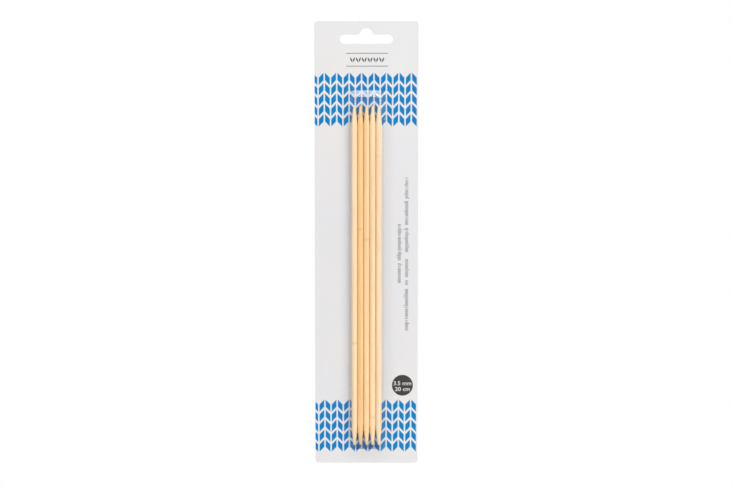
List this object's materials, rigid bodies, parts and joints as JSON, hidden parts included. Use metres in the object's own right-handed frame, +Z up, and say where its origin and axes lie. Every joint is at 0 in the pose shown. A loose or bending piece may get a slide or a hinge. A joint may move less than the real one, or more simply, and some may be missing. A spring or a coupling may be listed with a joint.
{
  "type": "double pointed knitting needles in a hanging blister pack",
  "caption": "Double pointed bamboo knitting needles lying side by side in a narrow clear blister, sealed to a printed hanging card with a euro slot; each needle slides inside the blister.",
  "frame": {"origin": "the crown of the euro slot, where a shop peg carries the pack, in the middle of the card's thickness", "axes": "+Z up along the needles, towards the euro slot; -Y out of the printed face, where the blister stands; +X to the right of someone who looks at the face"},
  "size_m": [0.0604, 0.0052, 0.26],
  "materials": {
    "printed_board": "satin",
    "clear_film": "gloss",
    "bamboo": "satin"
  },
  "bodies": {
    "pack": {"backing_card": "printed_board", "blister": "clear_film"},
    "needle_1": {"needle_1": "bamboo"},
    "needle_2": {"needle_2": "bamboo"},
    "needle_3": {"needle_3": "bamboo"},
    "needle_4": {"needle_4": "bamboo"},
    "needle_5": {"needle_5": "bamboo"}
  },
  "joints": [
    {"name": "needle_1_slide", "type": "slide", "parent": "pack", "child": "needle_1", "axis": [0, 0, 1], "range_m": [0, 0.0062]},
    {"name": "needle_2_slide", "type": "slide", "parent": "pack", "child": "needle_2", "axis": [0, 0, 1], "range_m": [0, 0.0062]},
    {"name": "needle_3_slide", "type": "slide", "parent": "pack", "child": "needle_3", "axis": [0, 0, 1], "range_m": [0, 0.0062]},
    {"name": "needle_4_slide", "type": "slide", "parent": "pack", "child": "needle_4", "axis": [0, 0, 1], "range_m": [0, 0.0062]},
    {"name": "needle_5_slide", "type": "slide", "parent": "pack", "child": "needle_5", "axis": [0, 0, 1], "range_m": [0, 0.0062]}
  ]
}
